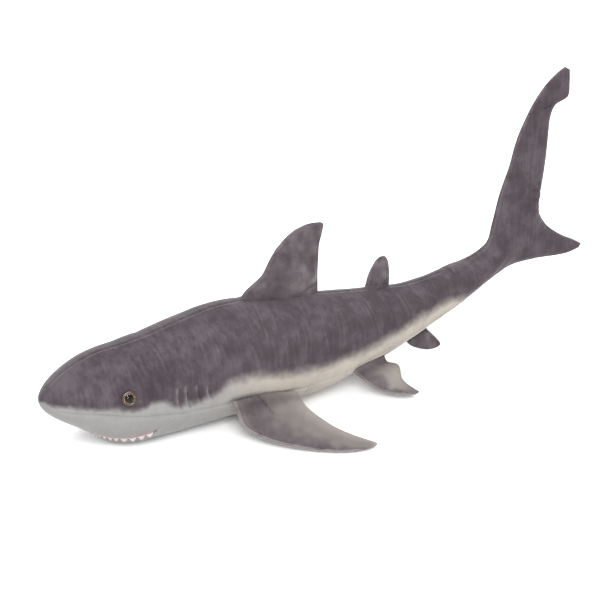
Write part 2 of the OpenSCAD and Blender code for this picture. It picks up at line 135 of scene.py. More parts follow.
# Faint folds in the stuffed skin: s and angle of both ends, depth, width
FOLDS = [
    (36, 100, 38, 135, 0.8, 5), (150, 112, 146, 172, 0.8, 5), (284, 125, 290, 170, 1.0, 6),
    (225, 110, 215, 160, 0.6, 8), (400, 100, 408, 160, 0.7, 7), (460, 95, 452, 170, 0.6, 7),
    (118, 118, 112, 165, 0.5, 6), (340, 96, 352, 130, 0.6, 7), (520, 100, 512, 170, 0.9, 6),
    (250, 40, 258, 80, 0.7, 6), (345, 25, 350, 70, 0.7, 7), (405, 20, 412, 75, 0.8, 7),
]
# Sewn roots of the paired fins on the body: s and angle of both ends
ROOTS = [(230, 70, 326, 63), (430, 54, 476, 42)]


def smooth(table, column, s):
    """Smooth curve through a column of a table, at s."""
    xs, ys = table[:, 0], table[:, column]
    slopes = np.empty_like(ys)
    slopes[1:-1] = (ys[2:] - ys[:-2]) / (xs[2:] - xs[:-2])
    slopes[0] = (ys[1] - ys[0]) / (xs[1] - xs[0])
    slopes[-1] = (ys[-1] - ys[-2]) / (xs[-1] - xs[-2])
    i = np.clip(np.searchsorted(xs, s, side="right") - 1, 0, len(xs) - 2)
    step = xs[i + 1] - xs[i]
    t = np.clip((s - xs[i]) / step, 0, 1)
    rise = (2 * t**3 - 3 * t**2 + 1) * ys[i] + (3 * t**2 - 2 * t**3) * ys[i + 1]
    return rise + (t**3 - 2 * t**2 + t) * step * slopes[i] + (t**3 - t**2) * step * slopes[i + 1]


def bell(x, width):
    return np.exp(-((x / width) ** 2))


def step_up(x, low, high):
    t = np.clip((x - low) / (high - low), 0, 1)
    return t * t * (3 - 2 * t)


ROOT_BODY = np.column_stack([np.sqrt(BODY[:, 0]), BODY[:, 1:]])


def section(s):
    """Top, bottom, half width and widest level of the body at s. The square root rounds the nose."""
    q = np.sqrt(np.maximum(s, 0))
    return [smooth(ROOT_BODY, column, q) for column in (1, 2, 3, 4)]


def seam_angle(s):
    return np.interp(s, SEAM[:, 0], SEAM[:, 1])


def lip_s(share):
    return np.interp(np.abs(share), LIP[:, 0], LIP[:, 1])


def opening(share):
    return np.interp(np.abs(share), OPENING[:, 0], OPENING[:, 1])


def place(s, y, z):
    """A place in the model's frame, in metres, from millimetres on the shark."""
    s, y, z = np.broadcast_arrays(s, y, z)
    return np.stack([NOSE_X + s * MM, y * MM, z * MM], axis=-1)


def body_points(s, angle, lift=0.0):
    """Points of the body's surface, raised by lift millimetres. The belly is flat where it rests."""
    s, angle, lift = np.broadcast_arrays(*(np.asarray(values, float) for values in (s, angle, lift)))
    top, bottom, half, level = section(s)
    a = np.radians(angle)
    reach = np.where(np.cos(a) > 0, level - bottom, top - level)
    y = -(half + lift) * np.sin(a)
    z = level - (reach + lift) * np.cos(a)
    depth = np.maximum(-lift, 0)
    settled = 0.5 * (z - depth + np.sqrt((z - depth) ** 2 + 4)) - 0.4 + depth
    return place(s, y, np.maximum(settled, 0.1 + depth))


def fold_distance(s, a, k, fold):
    """Distance in millimetres from a fold on the skin, and how far along it, from 0 to 1."""
    s0, a0, s1, a1 = fold[:4]
    x, y = s - s0, (a - a0) * k
    dx, dy = s1 - s0, (a1 - a0) * k
    along = np.clip((x * dx + y * dy) / (dx * dx + dy * dy), 0, 1)
    return np.hypot(x - along * dx, y - along * dy), along


def gill_distance(s, a, gill):
    """Distance behind the bowed line of a gill pleat, and a fade towards its ends."""
    s0, a0, s1, a1 = gill
    middle, half = (a0 + a1) / 2, abs(a0 - a1) / 2
    line = s0 + (s1 - s0) * (a - a0) / (a1 - a0)
    line = line - GILL_BOW * (1 - ((a - middle) / half) ** 2)
    return s - line, step_up(half + 2 - np.abs(a - middle), 0, 4)


def value_noise(points, scale, seed=0.0):
    """Smooth noise at points in metres, for bumps of about scale millimetres."""
    f = 1000.0 / scale
    flat = points.reshape(-1, 3) * f + seed
    return np.array([noise.noise(p) for p in flat.tolist()]).reshape(points.shape[:-1])


def relief(s, angle):
    """Height of the skin's seams, pleats, folds and lumps, in millimetres."""
    s, angle = np.broadcast_arrays(np.asarray(s, float), np.asarray(angle, float))
    a = np.abs(angle)
    k = np.maximum(section(s)[2], 4) * math.pi / 180
    base = body_points(s, angle)
    lumps = value_noise(base, 70, 3.1)
    wrinkles = value_noise(base, 22, 9.7)
    side = (a - seam_angle(s)) * k
    ridge = (180 - a) * k
    pucker = 1 + 0.7 * value_noise(base * [1, 0.3, 0.3], 7, 5.5)
    fade = step_up(s, 2, 20)
    lift = 0.9 * lumps + 0.35 * wrinkles
    lift = lift - fade * pucker * (1.1 * bell(side, 1.8) - 0.5 * bell(np.abs(side) - 6, 4))
    lift = lift - fade * pucker * (0.7 * bell(ridge, 1.6) - 0.3 * bell(ridge - 5, 3.5))
    for gill in GILLS:
        d, ends = gill_distance(s, a, gill)
        lift = lift + ends * (0.9 * bell(d + 2.4, 1.7) - 1.3 * bell(d - 0.3, 1.1))
    for fold in FOLDS:
        d, along = fold_distance(s, a, k, fold)
        lift = lift - fold[4] * bell(d, fold[5]) * np.sin(np.pi * np.clip(along, 0.02, 0.98))
    for root in ROOTS:
        d, _ = fold_distance(s, a, k, root)
        lift = lift - 2.0 * bell(d, 6)
    eye_d = np.hypot(s - EYE[0], (a - EYE[1]) * k)
    lift = lift - 1.8 * bell(eye_d, 10) + 0.5 * bell(eye_d - 15, 5)
    return lift * step_up(s, 0, 8) * step_up(TAIL_JOIN - s, 0, 20)


def skin(s, angle, lift=0.0):
    return body_points(s, angle, relief(s, angle) + lift)


def grid_piece(name, points, rings=False):
    """Mesh through a grid of points, rows by columns; rings joins the last column to the first."""
    rows, columns = points.shape[:2]
    index = np.arange(rows * columns).reshape(rows, columns)
    if rings:
        index = np.concatenate([index, index[:, :1]], axis=1)
    quads = np.stack([index[:-1, :-1], index[:-1, 1:], index[1:, 1:], index[1:, :-1]], axis=-1).reshape(-1, 4)
    mesh = bpy.data.meshes.new(name)
    mesh.from_pydata(points.reshape(-1, 3).tolist(), [], quads.tolist())
    mesh.polygons.foreach_set("use_smooth", [True] * len(mesh.polygons))
    rest = mesh.attributes.new("rest", "FLOAT_VECTOR", "POINT")
    rest.data.foreach_set("vector", points.astype(np.float32).ravel())
    piece = bpy.data.objects.new(name, mesh)
    bpy.context.collection.objects.link(piece)
    return piece


def paint(piece, **layers):
    """Stores one number a point in each named layer, which the materials read."""
    for name, values in layers.items():
        values = np.asarray(values, np.float32).ravel()
        if values.size == 1:
            values = np.repeat(values, len(piece.data.vertices))
        attribute = piece.data.attributes.new(name, "FLOAT", "POINT")
        attribute.data.foreach_set("value", values)


def body_layers(s, angle):
    """Dye, paler pile with painted highlights, warm tone and painted shade of the body at s and angle; the
    white is cooler and darker under the head, which is painted shade.
    """
    s, angle = np.broadcast_arrays(np.asarray(s, float), np.asarray(angle, float))
    a = np.abs(angle)
    k = np.maximum(section(s)[2], 4) * math.pi / 180
    base = body_points(s, angle)
    wander = 1.8 * value_noise(base, 18, 2.2) + 1.4 * value_noise(base, 6, 7.1)
    edge = (a - np.interp(s, WHITE_EDGE[:, 0], WHITE_EDGE[:, 1])) * k
    soft = 7 + 10 * step_up(s, 150, 260)
    dye = np.maximum(step_up(edge + 1.5 * wander, -3, soft), step_up(s, 645, 665))
    # Painted highlight: a faint light band along the back seam.
    pale = 0.05 * bell((180 - a) * k, 4) * step_up(s, 5, 30)
    # Painted shade: a darker line along the side seam.
    shade = 0.15 * bell((a - seam_angle(s)) * k, 1.2) * step_up(s, 5, 30)
    # Each gill pleat gets a painted highlight just ahead of it and painted shade in its groove.
    for gill in GILLS:
        d, ends = gill_distance(s, a, gill)
        pale = pale + 0.5 * ends * bell(d + 2.4, 1.6)
        shade = shade + 0.45 * ends * bell(d - 0.4, 1.3)
    # Each fold gets painted shade along it and a painted highlight beside it.
    for fold in FOLDS:
        d, along = fold_distance(s, a, k, fold)
        shade = shade + 0.18 * bell(d, 1.6) * np.sin(np.pi * along)
        pale = pale + 0.08 * bell(d - 3, 1.8) * np.sin(np.pi * along)
    # Painted shade where the paired fins are sewn on.
    for root in ROOTS:
        d, _ = fold_distance(s, a, k, root)
        shade = shade + 0.35 * bell(d, 5)
    # Creamy white where the belly is lit; ahead of it the white is cooler and darker, as painted shade under
    # the head.
    cream = step_up(s, 190, 300)
    return {"dye": dye, "pale": np.clip(pale, 0, 1), "cream": cream, "shade": np.clip(shade, 0, 1)}


def stations(first, last, step):
    """Distances behind the nose, dense where the snout is blunt."""
    nose = np.linspace(0.02, math.sqrt(40), 84) ** 2
    body = np.arange(40 + step, last, step)
    s = np.concatenate([nose, body, [last]])
    return s[s >= first]


def back_panel(side):
    """Grey velour of one side, from the side seam up to the back seam."""
    s = stations(0, TAIL_JOIN, 2)[:, None]
    t = np.linspace(0, 1, 76)[None, :]
    low = seam_angle(s)
    angle = side * (low + (180 - low) * t)
    name = "back_velour_left" if side > 0 else "back_velour_right"
    piece = grid_piece(name, skin(s, angle)[:, ::-side])
    paint(piece, **{layer: values[:, ::-side] for layer, values in body_layers(s, angle).items()})
    return piece


# Hem of a lip: how far each row of the fold lies from the lip's edge, and how deep
TUCK = [(0.0, 6.0), (0.3, 4.0), (0.9, 2.2), (1.7, 1.0), (2.6, 0.3)]


def hem_depth(share):
    """Share of a hem's depth: all of it along the mouth, a quarter along the seam behind it."""
    return 1 - 0.75 * step_up(np.abs(share), 0.67, 0.74)


def snout_panel():
    """White velour under the snout, tucked in along the upper lip."""
    share = np.linspace(-1, 1, 121)[None, :]
    u = np.linspace(0.0, 1, 90)[:, None]
    edge = lip_s(share)
    s = np.maximum((edge - 3.2) * u**1.7, 0.0004)
    lift = np.zeros_like(s)
    for ahead, depth in reversed(TUCK):
        s = np.concatenate([s, edge - ahead * 0.9], axis=0)
        lift = np.concatenate([lift, np.full_like(edge, -depth)], axis=0)
    share = np.broadcast_to(share, s.shape)
    lift = lift * hem_depth(share)
    angle = share * seam_angle(s)
    piece = grid_piece("snout_velour", skin(s, angle, lift)[::-1])
    layers = body_layers(s, angle)
    # Painted shade in the hem tucked in along the upper lip.
    layers["shade"] = np.clip(layers["shade"] + 0.35 * step_up(-lift, 0.5, 4), 0, 1)
    paint(piece, **{n: v[::-1] for n, v in layers.items()})
    return piece


def belly_panel():
    """White velour of the throat, belly and tail's underside, tucked in along the lower lip."""
    share = np.linspace(-1, 1, 121)[None, :]
    u = np.linspace(0, 1, 300)[:, None]
    edge = lip_s(share) + opening(share)
    s = edge + 3.2 + (TAIL_JOIN - edge - 3.2) * u**1.15
    lift = np.zeros_like(s)
    for behind, depth in TUCK[::-1]:
        s = np.concatenate([edge + behind * 0.9, s], axis=0)
        lift = np.concatenate([np.full_like(edge, -depth), lift], axis=0)
    order = np.argsort(s[:, 60])
    s, lift = s[order], lift[order]
    share = np.broadcast_to(share, s.shape)
    lift = lift * hem_depth(share)
    angle = share * seam_angle(s)
    jaw = 2.4 * bell(s - edge - 9, 12) * step_up(0.75 - np.abs(share), 0, 0.15)
    piece = grid_piece("belly_velour", skin(s, angle, lift + jaw)[::-1])
    layers = body_layers(s, angle)
    # Painted shade in the hem tucked in along the lower lip.
    layers["shade"] = np.clip(layers["shade"] + 0.35 * step_up(-lift, 0.5, 4), 0, 1)
    paint(piece, **{n: v[::-1] for n, v in layers.items()})
    return piece


# ---- Mouth ----

TEETH = 26
TOOTH_STEPS = 8


def mouth_lining():
    share = np.linspace(-0.7, 0.7, 81)[None, :]
    t = np.linspace(0, 1, 13)[:, None]
    edge, gap = lip_s(share), opening(share)
    s = edge - 4 + (gap + 8) * t
    lift = -5.5 - 5 * np.sin(np.pi * t) * np.minimum(gap / 8, 1)
    return grid_piece("mouth_lining_cloth", body_points(s, share * seam_angle(s), lift)[::-1])


def along_lip(share, behind, lift):
    s = lip_s(share) + behind
    return body_points(s, share * seam_angle(s), lift)


def gum_roll():
    share = np.linspace(-MOUTH_SHARE, MOUTH_SHARE, 161)
    middle = along_lip(share, 1.6, -1.2)
    out = along_lip(share, 1.6, 0.0) - middle
    out /= np.linalg.norm(out, axis=1)[:, None]
    ahead = np.gradient(middle, axis=0)
    across = np.cross(out, ahead)
    across /= np.linalg.norm(across, axis=1)[:, None]
    turn = np.linspace(0, 2 * math.pi, 12, endpoint=False)
    r = 1.5 * MM * np.clip((MOUTH_SHARE - np.abs(share)) / 0.04, 0.15, 1)
    around = np.cos(turn)[:, None] * out[:, None] + np.sin(turn)[:, None] * across[:, None]
    ring = r[:, None, None] * around
    return grid_piece("gum_roll", middle[:, None] + ring, rings=True)


def teeth():
    """Felt strip cut into points, hanging under the upper lip."""
    points = TEETH * TOOTH_STEPS + 1
    share = np.linspace(-0.66, 0.66, points)
    wave = np.abs((np.arange(points) / TOOTH_STEPS) % 1 - 0.5) * 2
    length = 3.2 + 2.6 * step_up(np.abs(share), 0.2, 0.62)
    drop = 0.9 + length * (1 - wave)
    top = along_lip(share, 2.4, -1.6)
    out = along_lip(share, 2.4, 0.0) - top
    out /= np.linalg.norm(out, axis=1)[:, None]
    down = out * 0.45 + np.array([0, 0, -1.0])
    down /= np.linalg.norm(down, axis=1)[:, None]
    rows = [top + down * (drop * MM * t)[:, None] for t in (-0.6, 0.0, 0.35, 0.7, 1.0)]
    piece = grid_piece("felt_teeth", np.stack(rows, axis=0))
    solid = piece.modifiers.new("felt", "SOLIDIFY")
    solid.thickness = 0.9 * MM
    solid.offset = 0
    return piece


# ---- Eyes ----

def eye_matrix(side):
    """Where an eye sits, its Z axis pointing out of the head."""
    place_at = body_points(EYE[0], EYE[1] * side)
    turn = Matrix.Rotation(math.radians(-12), 4, "Z") @ Matrix.Rotation(math.radians(78), 4, "X")
    flip = Matrix.Diagonal((1, side, 1, 1))
    return Matrix.Translation(Vector(place_at.tolist())) @ flip @ turn


def lathe(name, profile, side, segments=64):
    """Turned piece of an eye: profile is (radius, height) in millimetres."""
    turn = np.linspace(0, 2 * math.pi, segments, endpoint=False)
    profile = np.array(profile, float) * MM
    points = np.stack([
        profile[:, :1] * np.cos(turn)[None, :],
        profile[:, :1] * np.sin(turn)[None, :],
        np.broadcast_to(profile[:, 1:2], (len(profile), segments)),
    ], axis=-1)
    matrix = np.array(eye_matrix(side))
    world = points @ matrix[:3, :3].T + matrix[:3, 3]
    piece = grid_piece(name, world if side < 0 else world[:, ::-1], rings=True)
    paint(piece, radius=np.broadcast_to(profile[:, :1] / MM, points.shape[:2]))
    return piece


def dome_profile(radius, low, high, count=14):
    t = np.linspace(0.002, 1, count)
    return [(radius * math.sin(x * math.pi / 2), low + (high - low) * math.cos(x * math.pi / 2)) for x in t]


# ---- Fins ----
# Rows from the root to the tip: a point of the leading edge, a point of the trailing edge and
# the thickness as a share of that at the root. Paired fins are given for the left side.

DORSAL = [
    (279, 0, 151, 397, 0, 139, 1),
    (289, 0, 163, 397, 0, 155, 1),
    (313, 0, 180, 397, 0, 172, 0.9),
    (324, 0, 198, 398, 0, 190, 0.76),
    (337, 0, 215, 399, 0, 207, 0.6),
    (355, 0, 230, 403, 0, 222, 0.44),
    (380, 0, 240, 407, 0, 238, 0.25),
]
SECOND_DORSAL = [
    (472, 0, 138, 509, 0, 134, 1),
    (476, 0, 151, 509, 0, 148, 0.85),
    (484, 0, 164, 507, 0, 163, 0.6),
    (491, 0, 173, 503, 0, 173, 0.35),
]
ANAL = [
    (537, 0, 41, 572, 0, 53, 1),
    (548, 0, 30.5, 583, 0, 41, 0.9),
    (566, 0, 22, 592, 0, 31, 0.7),
    (584, 0, 18, 599, 0, 22, 0.45),
]
PECTORAL = [
    (229, -82, 42, 327, -77, 34, 1),
    (231, -96, 25, 328, -92, 27, 0.9),
    (243, -112, 16, 337, -112, 18, 0.78),
    (258, -130, 11, 346, -134, 12, 0.64),
    (278, -150, 8, 358, -156, 8, 0.5),
    (300, -168, 6, 369, -174, 6, 0.4),
    (326, -184, 5, 375, -185, 5, 0.3),
    (350, -193, 4, 372, -191, 4, 0.2),
]
PELVIC = [
    (430, -50, 32, 484, -38, 36, 1),
    (441, -62, 21, 497, -46, 31, 0.85),
    (455, -75, 13, 494, -61, 17, 0.65),
    (472, -88, 10, 499, -81, 10, 0.48),
    (490, -97, 9, 502, -93, 9, 0.3),
]
# How far a fin's skins go on inside the body
BURIED = 11
# Grid of a fin's skin, and a point of it well inside the outline
FIN_ROWS, FIN_COLUMNS = 70, 61
MIDDLE_POINT = (20, 30)


def crown(c):
    """Height of a stuffed fin across its width, from the leading edge to the trailing edge."""
    return np.sin(np.pi * np.clip(c, 0, 1) ** 0.75) ** 0.7


def fin_middle(rows, inward):
    """Middle surface of a fin in millimetres, its thickness share and where each point is."""
    table = np.array(rows, float)
    buried = table[:1].copy()
    slope = table[0, 0:3] - table[1, 0:3]
    buried[:, 0:3] += slope / np.linalg.norm(slope) * BURIED
    buried[:, 3:6] += np.array(inward) * BURIED
    table = np.concatenate([buried, table])
    middles = (table[:, 0:3] + table[:, 3:6]) / 2
    reach = np.concatenate([[0], np.cumsum(np.linalg.norm(np.diff(middles, axis=0), axis=1))]) - BURIED
    table = np.column_stack([reach, table])
    r = np.linspace(-BURIED, reach[-1], FIN_ROWS)
    lead = np.stack([smooth(table, i, r) for i in (1, 2, 3)], axis=-1)[:, None]
    trail = np.stack([smooth(table, i, r) for i in (4, 5, 6)], axis=-1)[:, None]
    share = smooth(table, 7, r)[:, None]
    near_tip = np.clip((r - reach[-1] + 7) / 7, 0, 1)
    closing = np.sqrt(np.maximum(1 - near_tip**2, 0.0))[:, None]
    c = 0.5 - 0.5 * np.cos(np.pi * np.linspace(0, 1, FIN_COLUMNS))[None, :]
    spread = 0.5 + (c - 0.5) * (0.45 + 0.55 * closing)
    middle = lead + (trail - lead) * spread[..., None]
    width = np.linalg.norm(trail - lead, axis=-1)
    return middle, share * closing, r[:, None] + 0 * c, c + 0 * r[:, None], width + 0 * c, reach[-1]


def fin_skins(fin):
    """Two sewn skins of a stuffed fin, the first one on the side that its face points to."""
    middle, share, r, c, width, length = fin_middle(fin.rows, fin.inward)
    normal = np.cross(np.gradient(middle, axis=1), np.gradient(middle, axis=0))
    normal /= np.linalg.norm(normal, axis=-1)[..., None] + 1e-9
    flip = np.sign((normal * np.array(fin.face)).sum(axis=-1))[MIDDLE_POINT]
    normal = normal * flip
    edge = np.minimum(c, 1 - c) * width
    world = place(middle[..., 0], middle[..., 1], middle[..., 2])
    made = []
    for index, way in enumerate((1, -1)):
        seed = 4.0 * index + len(fin.name)
        pucker = value_noise(world, 8, seed) * bell(edge, 9)
        lumps = value_noise(world, 30, seed + 2)
        half = share * fin.thickness / 2 * crown(c)
        half = half * (1 + 0.16 * pucker + 0.12 * lumps) + 0.5 * (share > 0) * np.minimum(edge, 1)
        half = half - 0.7 * bell(edge - 4.4, 1.2) * step_up(r, 4, 12) * step_up(width, 24, 50)
        points = middle + normal * (way * half)[..., None]
        points = points * np.array([1, fin.side, 1])
        order = 1 if way * flip * fin.side > 0 else -1
        grid = place(points[..., 0], points[..., 1], points[..., 2])
        piece = grid_piece(fin.name + fin.endings[index], grid[:, ::order])
        values = fin.layers(index, r / length, c, edge, value_noise(world, 14, seed + 5))
        paint(piece, **{layer: (numbers + 0 * c)[:, ::order] for layer, numbers in values.items()})
        made.append(piece)
    return made


def white_layers(r):
    """White underside of a paired fin in the cooler, darker white of painted shade, with more painted shade
    all over and deepest at its root.
    """
    return {"dye": 0.0, "pale": 0.0, "cream": 0.2, "shade": 0.15 + 0.3 * bell(r, 0.08)}


def grey_layers(index, r, c, edge, speckle):
    """Both sides of an upright fin: paler patches, a paler edge, and painted shade at the root, in the groove
    inside the edge and along a fold by the root.
    """
    patch = bell(r - 0.25, 0.28) * step_up(c, 0.3, 0.8) + 0.5 * bell(r - 0.8, 0.2)
    # The fold is only painted shade: a dark line rising from the rear of the root.
    fold = bell(r - 0.02 - 0.35 * (c - 0.65), 0.02) * step_up(c, 0.65, 0.8)
    return {
        "dye": 1 - 0.14 * patch * (1 + 2 * speckle),
        "pale": np.clip(0.06 + 0.2 * bell(edge, 3) + 0.35 * patch * step_up(speckle, -0.4, 0.5), 0, 1),
        "cream": 0.7,
        # Painted shade at the root, in the groove inside the edge and along the fold.
        "shade": np.clip(0.35 * bell(r + 0.02, 0.06) + 0.12 * bell(edge - 3, 1.2) + 0.5 * fold, 0, 1),
    }


def pectoral_layers(index, r, c, edge, speckle):
    """Top of a pectoral fin, worn towards its trailing edge, with painted shade at its root, in the groove
    behind its leading edge and along a tucked crease near the root; the other side is white.
    """
    if index:
        return white_layers(r)
    front = step_up(0.5 - c, 0, 0.2)
    corner = bell(np.hypot(r - 0.05, 2 * c), 0.16)
    # Painted shade along a tucked crease near the root.
    tuck_shade = bell(c - 0.38 - 0.6 * r, 0.015) * step_up(0.2 - r, 0, 0.12)
    worn = 0.34 * step_up(c + 0.2 * speckle + 0.25 * r, 0.2, 0.8) + 0.32 * step_up(c, 0.65, 1)
    return {
        "dye": 0.95 - worn - 0.4 * corner,
        "pale": np.clip(0.12 + 0.5 * bell(edge - 1.5, 3) * front, 0, 1),
        "cream": 1.0,
        "shade": np.clip(0.4 * bell(r, 0.05) + 0.35 * bell(edge - 4.6, 1.1) * front + 0.5 * tuck_shade, 0, 1),
    }


def pelvic_layers(index, r, c, edge, speckle):
    """Top of a pelvic fin, worn in its middle, with painted shade at its root and in the groove behind its
    leading edge; the other side is white.
    """
    if index:
        return white_layers(r)
    front = step_up(0.5 - c, 0, 0.2)
    return {
        "dye": 0.85 - 0.6 * bell(r - 0.45, 0.35) * step_up(c + 0.2 * speckle, 0.15, 0.5),
        "pale": np.clip(0.2 + 0.4 * bell(edge - 1, 2.4) * front, 0, 1),
        "cream": 1.0,
        # Painted shade at the root and in the groove behind the leading edge.
        "shade": 0.5 * bell(r, 0.1) + 0.2 * bell(edge - 3.4, 1.2),
    }


# ---- Tail fin ----
# Rows from the tip of the lower lobe to the tip of the upper lobe: a point of the leading edge,
# a point of the trailing edge, both as s and z, and the thickness share. A SOCKET row is an
# angle on the ring where the tail meets the body's fabric, and z at the trailing edge.

TAIL_LOWER = [
    (833, 123, 837, 129, 0.12),
    (812, 119, 820, 139, 0.3),
    (785, 119.5, 798, 150, 0.48),
    (752, 121.5, 774, 167, 0.68),
    (707, 118.5, 762, 181, 0.88),
    (660, 98, 759, 186, 1),
    (630, 85.5, 757, 189, 1),
]
TAIL_SOCKET = [(0, 190), (30, 191), (60, 193), (90, 195), (120, 197), (150, 199), (180, 201)]
TAIL_UPPER = [
    (630, 141, 755, 203, 1),
    (652, 148.5, 755, 207, 0.97),
    (670, 161, 757, 214, 0.9),
    (678, 187, 758, 226, 0.82),
    (688, 227, 761, 246, 0.7),
    (702, 264, 764, 272, 0.6),
    (712, 300, 766, 302, 0.52),
    (725, 328, 768, 326, 0.44),
    (740, 353, 776, 343, 0.38),
    (758, 374, 797, 352, 0.32),
    (776, 388, 799, 372, 0.25),
    (789, 395, 798, 390, 0.12),
]
SOCKET_TRAIL = 756
LOBE_THICKNESS = 27
# Distance from the outline over which a lobe grows to its full thickness
LOBE_ROUND = 24
# Rounds of smoothing both ways over the grid, then along its rows' order only
SMOOTH_BOTH, SMOOTH_LONG = 25, 150
# The lines from the leading edge to the trailing edge bow down at these rows, by this power
BOW = ([6, 13, 14, 15, 17], [1, 1.9, 1.6, 1.3, 1])
TAIL_STEPS = 12
TAIL_COLUMNS = 81
FIRST_SOCKET = len(TAIL_LOWER)
LAST_SOCKET = FIRST_SOCKET + len(TAIL_SOCKET) - 1
# Wrinkles of the tail: s and z of both ends, depth, width
TAIL_FOLDS = [
    (758, 210, 732, 216, 1.6, 3), (758, 222, 734, 230, 1.3, 3), (760, 234, 738, 240, 1.1, 3),
    (757, 197, 730, 200, 1.4, 3), (806, 124, 803, 143, 1.6, 3), (764, 345, 742, 340, 1.2, 3),
    (690, 150, 672, 135, 0.8, 6), (775, 168, 752, 160, 1.1, 3), (706, 250, 748, 256, 0.6, 5),
    (712, 296, 756, 290, 0.6, 5), (762, 262, 736, 266, 0.7, 4), (700, 215, 728, 222, 0.6, 5),
]


def socket_z(angle):
    """Height of the ring where the tail's skins meet the body, at an angle in degrees."""
    top, bottom, _, level = section(np.float64(TAIL_JOIN))
    cosine = np.cos(np.radians(angle))
    return level - np.where(cosine > 0, level - bottom, top - level) * cosine


def tail_table():
    """All rows of the tail fin, numbered in the first column."""
    socket = [(TAIL_JOIN, float(socket_z(angle)), SOCKET_TRAIL, z, 1) for angle, z in TAIL_SOCKET]
    rows = TAIL_LOWER + socket + TAIL_UPPER
    return np.column_stack([np.arange(len(rows)), np.array(rows, float)])


def gap_to(s, z, line_s, line_z):
    """Distance in millimetres from the points to a line through other points."""
    gap = np.full(s.shape, 999.0)
    for i in range(len(line_s) - 1):
        d, _ = fold_distance(s, z, 1, (line_s[i], line_z[i], line_s[i + 1], line_z[i + 1] + 0.001))
        gap = np.minimum(gap, d)
    return gap


def tail_grid():
    """Rows t from tip to tip, columns c across, then s, z and thickness share, and the socket's rows."""
    table = tail_table()
    t = np.linspace(0, len(table) - 1, TAIL_STEPS * (len(table) - 1) + 1)
    c = 0.5 - 0.5 * np.cos(np.pi * np.linspace(0, 1, TAIL_COLUMNS))
    lead_s, lead_z, trail_s, trail_z, share = [smooth(table, i, t)[:, None] for i in (1, 2, 3, 4, 5)]
    socket = (t[:, None] >= FIRST_SOCKET) & (t[:, None] <= LAST_SOCKET)
    lead_s = np.where(socket, TAIL_JOIN, np.maximum(lead_s, TAIL_JOIN))
    lead_z = np.where(socket, socket_z(np.clip((t[:, None] - FIRST_SOCKET) * 30, 0, 180)), lead_z)
    bow = np.interp(t, BOW[0], BOW[1])[:, None]
    s = lead_s + (trail_s - lead_s) * c
    z = lead_z + (trail_z - lead_z) * c**bow
    return t, c, s, z, share, socket


def tail_gaps(t, s, z):
    """Distances to both leading edges, which stop counting past the socket, and to the trailing edge."""
    row = t[:, None] + 0 * s
    lower, upper, trailing = [
        gap_to(s, z, s[keep, column], z[keep, column])
        for keep, column in ((t <= FIRST_SOCKET, 0), (t >= LAST_SOCKET, 0), (t >= 0, -1))
    ]
    lower = lower + 40 * step_up(row, FIRST_SOCKET + 1, LAST_SOCKET)
    upper = upper + 40 * step_up(LAST_SOCKET - row, 1, 6)
    return lower, upper, trailing


def even_out(half_y, apart):
    """Smooths the tail's half thickness behind its join, so that the stock runs into the lobes."""
    for _ in range(SMOOTH_BOTH):
        middle = half_y[1:-1, 1:-1]
        mean = (half_y[:-2, 1:-1] + half_y[2:, 1:-1] + half_y[1:-1, :-2] + half_y[1:-1, 2:]) / 4
        half_y[1:-1, 1:-1] = middle + 0.6 * (mean - middle) * apart[1:-1, 1:-1]
    for _ in range(SMOOTH_LONG):
        along = (half_y[:-2] + half_y[2:]) / 2
        half_y[1:-1] += 0.5 * (along - half_y[1:-1]) * apart[1:-1]
    return half_y


def tail_skins():
    """Velour of the tail's end and both lobes, one skin a side, sewn along its outline."""
    t, c, s, z, share, socket = tail_grid()
    top, bottom, half, level = section(s)
    up = np.where(z > level, top - level, level - bottom)
    reach = np.clip((z - level) / np.maximum(up, 1), -1, 1)
    flat = 0.5 + 1.3 * step_up(s, 612, 670)
    stock = half * np.maximum(1 - reach**2, 0) ** flat * step_up(750 - s, 0, 90)
    stock = stock * np.where(socket, 1, np.sqrt(np.clip(c * 150 / 8, 0, 1)))
    ends = np.clip(np.minimum(t, t[-1] - t) / 0.6, 0, 1)[:, None]
    gaps = tail_gaps(t, s, z)
    edge = np.minimum(np.minimum(gaps[0], gaps[1]), gaps[2])
    inside = sum((gap + 0.01) ** -2.0 for gap in gaps) ** -0.5
    roundness = np.sqrt(1 - (1 - np.clip(inside / LOBE_ROUND, 0, 1)) ** 2)
    lobe = share * LOBE_THICKNESS / 2 * roundness * np.sqrt(1 - (1 - ends) ** 2) * step_up(s, TAIL_JOIN, 650)
    base = place(s, 0 * s, z)
    apart = step_up(s, 608, 640)
    body = body_layers(np.minimum(s, 739), np.degrees(np.arccos(-reach)))
    made = []
    for side, name in ((1, "tail_velour_left"), (-1, "tail_velour_right")):
        rough = value_noise(base, 45, 3 + side) * 1.4 + value_noise(base, 16, 8 + side) * 0.5
        pucker = value_noise(base, 8, 1 + side) * bell(edge, 9)
        puff = lobe * (1 + 0.15 * pucker)
        half_y = even_out((stock**3 + puff**3) ** (1 / 3), apart)
        calm = np.clip(half_y / 6, 0, 1) * apart
        half_y = half_y + rough * calm - 0.7 * bell(edge - 3.5, 1.2) * calm
        # Painted shade along the tail's wrinkles.
        crease_shade = np.zeros_like(half_y)
        for s0, z0, s1, z1, depth, wide in TAIL_FOLDS:
            d, along = fold_distance(s, z, 1, (s0, z0, s1, z1))
            half_y = half_y - depth * bell(d, wide) * calm
            crease_shade = crease_shade + 0.3 * depth * bell(d, 1.8) * (1 - along)
        half_y = np.where(ends > 0, np.maximum(half_y, 0), 0)
        piece = grid_piece(name, place(s, -side * half_y, z)[:, ::side])
        layers = dict(body)
        layers["pale"] = np.clip(0.2 * bell(edge, 3), 0, 1)
        # Painted shade in the groove inside the outline and in the wrinkles.
        layers["shade"] = np.clip(body["shade"] * (1 - apart) + 0.12 * bell(edge - 3.5, 1.5) + crease_shade, 0, 1)
        paint(piece, **{layer: values[:, ::side] for layer, values in layers.items()})
        made.append(piece)
    return made


# ---- Materials ----

